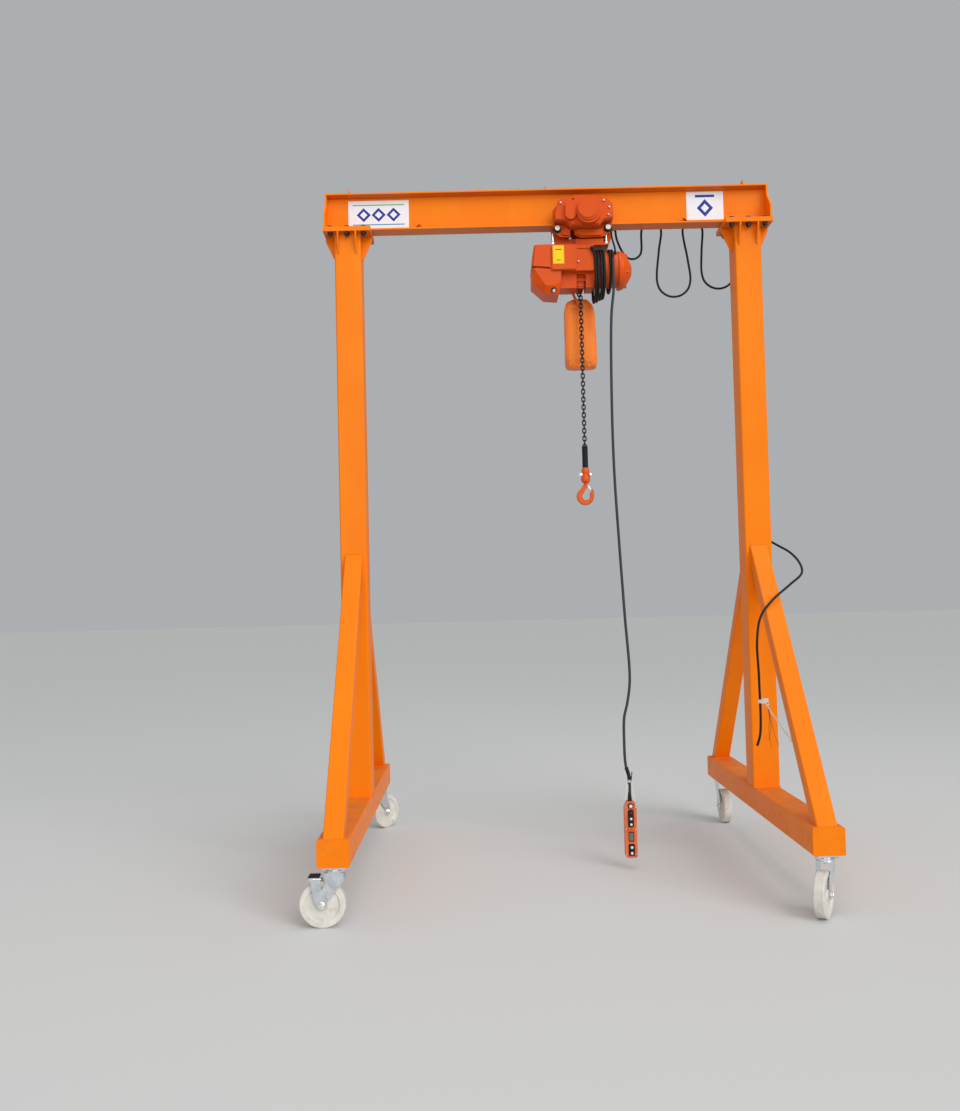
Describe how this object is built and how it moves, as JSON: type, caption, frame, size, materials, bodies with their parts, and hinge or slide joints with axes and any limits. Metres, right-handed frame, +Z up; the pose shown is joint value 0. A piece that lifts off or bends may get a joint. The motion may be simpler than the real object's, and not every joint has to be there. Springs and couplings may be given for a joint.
{
  "type": "mobile gantry crane with electric chain hoist",
  "caption": "Mobile gantry crane on swivel casters with a powered trolley, electric chain hoist, cable festoon and hanging pendant control.",
  "frame": {"origin": "on the floor under the middle of the crane, midway between the two legs", "axes": "+X runs along the beam from the left leg to the right leg; +Y points from the pendant side to the festoon side; +Z up"},
  "size_m": [2.4906, 2.2446, 3.61],
  "materials": {
    "frame_paint": "gloss",
    "hoist_paint": "satin",
    "zinc": "satin",
    "dark_steel": "satin",
    "chain_steel": "satin",
    "nylon": "satin",
    "black_plastic": "satin",
    "black_rubber": "matte",
    "cable": "satin",
    "bag_cloth": "matte",
    "pendant_shell": "satin"
  },
  "bodies": {
    "crane": {"main_beam": "frame_paint", "left_beam_foot": "frame_paint", "right_beam_foot": "frame_paint", "travel_stops": "frame_paint", "left_post": "frame_paint", "right_post": "frame_paint", "left_post_head": "frame_paint", "right_post_head": "frame_paint", "head_bolts": "dark_steel", "left_base_beam": "frame_paint", "right_base_beam": "frame_paint", "base_end_caps": "frame_paint", "left_braces": "frame_paint", "right_braces": "frame_paint", "caster_plates": "zinc", "rail_arms": "frame_paint", "festoon_rail": "zinc", "rail_end_clamp": "black_plastic", "supply_lead": "cable"},
    "trolley": {"trolley_front_plate": "hoist_paint", "trolley_rear_plate": "hoist_paint", "trolley_drive": "hoist_paint", "cross_bars": "zinc", "hoist_hanger": "hoist_paint", "guard_bolts": "zinc", "tow_arm": "dark_steel", "gear_case": "hoist_paint", "centre_block": "hoist_paint", "chain_guide": "hoist_paint", "hoist_motor": "hoist_paint", "end_bell": "hoist_paint", "cable_winding": "cable", "chain_bag": "bag_cloth", "load_chain": "chain_steel", "slack_chain": "chain_steel", "pendant_body": "pendant_shell", "pendant_buttons": "black_plastic", "pendant_yoke": "zinc", "festoon_cable": "cable", "pendant_cable": "cable", "drive_lead": "cable"},
    "trolley_wheel_fl": {"trolley_wheel_fl": "dark_steel"},
    "trolley_wheel_fr": {"trolley_wheel_fr": "dark_steel"},
    "trolley_wheel_rl": {"trolley_wheel_rl": "dark_steel"},
    "trolley_wheel_rr": {"trolley_wheel_rr": "dark_steel"},
    "cable_carrier_1": {"cable_carrier_1": "black_plastic"},
    "cable_carrier_2": {"cable_carrier_2": "black_plastic"},
    "hook_assembly": {"hook_block": "hoist_paint", "chain_buffer": "black_rubber"},
    "load_hook": {"load_hook": "hoist_paint"},
    "hook_latch": {"hook_latch": "dark_steel"},
    "caster_fork_fl": {"caster_fork_fl": "zinc", "caster_brake_fl": "zinc"},
    "caster_wheel_fl": {"caster_wheel_fl": "nylon"},
    "caster_fork_fr": {"caster_fork_fr": "zinc"},
    "caster_wheel_fr": {"caster_wheel_fr": "nylon"},
    "caster_fork_rl": {"caster_fork_rl": "zinc"},
    "caster_wheel_rl": {"caster_wheel_rl": "nylon"},
    "caster_fork_rr": {"caster_fork_rr": "zinc"},
    "caster_wheel_rr": {"caster_wheel_rr": "nylon"}
  },
  "joints": [
    {"name": "trolley_travel", "type": "slide", "parent": "crane", "child": "trolley", "axis": [1, 0, 0], "range_m": [-0.73, 0.37], "deforming": ["festoon_cable"]},
    {"name": "trolley_wheel_fl_roll", "type": "hinge", "parent": "trolley", "child": "trolley_wheel_fl", "pos_m": [0.106, -0.04, 3.4338], "axis": [0, 1, 0], "range_deg": [-800, 420]},
    {"name": "trolley_wheel_fr_roll", "type": "hinge", "parent": "trolley", "child": "trolley_wheel_fr", "pos_m": [0.262, -0.04, 3.4338], "axis": [0, 1, 0], "range_deg": [-800, 420]},
    {"name": "trolley_wheel_rl_roll", "type": "hinge", "parent": "trolley", "child": "trolley_wheel_rl", "pos_m": [0.106, 0.04, 3.4338], "axis": [0, 1, 0], "range_deg": [-800, 420]},
    {"name": "trolley_wheel_rr_roll", "type": "hinge", "parent": "trolley", "child": "trolley_wheel_rr", "pos_m": [0.262, 0.04, 3.4338], "axis": [0, 1, 0], "range_deg": [-800, 420]},
    {"name": "carrier_1_slide", "type": "slide", "parent": "crane", "child": "cable_carrier_1", "axis": [1, 0, 0], "range_m": [-0.586, 0.297]},
    {"name": "carrier_2_slide", "type": "slide", "parent": "crane", "child": "cable_carrier_2", "axis": [1, 0, 0], "range_m": [-0.223, 0.113]},
    {"name": "hook_lift", "type": "slide", "parent": "trolley", "child": "hook_assembly", "axis": [0, 0, 1], "range_m": [0, 0.8], "deforming": ["load_chain"]},
    {"name": "hook_swivel", "type": "hinge", "parent": "hook_assembly", "child": "load_hook", "pos_m": [0.172, 0, 1.99], "axis": [0, 0, 1], "continuous": true},
    {"name": "latch_hinge", "type": "hinge", "parent": "load_hook", "child": "hook_latch", "pos_m": [0.184, 0, 1.981], "axis": [0, 1, 0], "range_deg": [0, 35], "stiffness_Nm_per_rad": 0.1, "springref_deg": -17.19},
    {"name": "caster_fork_fl_swivel", "type": "hinge", "parent": "crane", "child": "caster_fork_fl", "pos_m": [-1.06, -0.985, 0.24], "axis": [0, 0, 1], "continuous": true},
    {"name": "caster_wheel_fl_roll", "type": "hinge", "parent": "caster_fork_fl", "child": "caster_wheel_fl", "pos_m": [-1.115, -0.985, 0.1], "axis": [0, -1, 0], "continuous": true},
    {"name": "caster_fork_fr_swivel", "type": "hinge", "parent": "crane", "child": "caster_fork_fr", "pos_m": [1.06, -0.985, 0.24], "axis": [0, 0, 1], "continuous": true},
    {"name": "caster_wheel_fr_roll", "type": "hinge", "parent": "caster_fork_fr", "child": "caster_wheel_fr", "pos_m": [1.0325, -1.03263, 0.1], "axis": [0.866, -0.5, 0], "continuous": true},
    {"name": "caster_fork_rl_swivel", "type": "hinge", "parent": "crane", "child": "caster_fork_rl", "pos_m": [-1.06, 0.985, 0.24], "axis": [0, 0, 1], "continuous": true},
    {"name": "caster_wheel_rl_roll", "type": "hinge", "parent": "caster_fork_rl", "child": "caster_wheel_rl", "pos_m": [-1.02465, 1.02713, 0.1], "axis": [-0.766, 0.6428, 0], "continuous": true},
    {"name": "caster_fork_rr_swivel", "type": "hinge", "parent": "crane", "child": "caster_fork_rr", "pos_m": [1.06, 0.985, 0.24], "axis": [0, 0, 1], "continuous": true},
    {"name": "caster_wheel_rr_roll", "type": "hinge", "parent": "caster_fork_rr", "child": "caster_wheel_rr", "pos_m": [1.06, 0.93, 0.1], "axis": [1, 0, 0], "continuous": true}
  ],
  "couplings": [
    {"joint": "trolley_wheel_fl_roll", "follows": "trolley_travel", "rad_per_m": 18.868},
    {"joint": "trolley_wheel_fr_roll", "follows": "trolley_travel", "rad_per_m": 18.868},
    {"joint": "trolley_wheel_rl_roll", "follows": "trolley_travel", "rad_per_m": 18.868},
    {"joint": "trolley_wheel_rr_roll", "follows": "trolley_travel", "rad_per_m": 18.868},
    {"joint": "carrier_1_slide", "follows": "trolley_travel", "ratio": 0.8007},
    {"joint": "carrier_2_slide", "follows": "trolley_travel", "ratio": 0.3036}
  ]
}
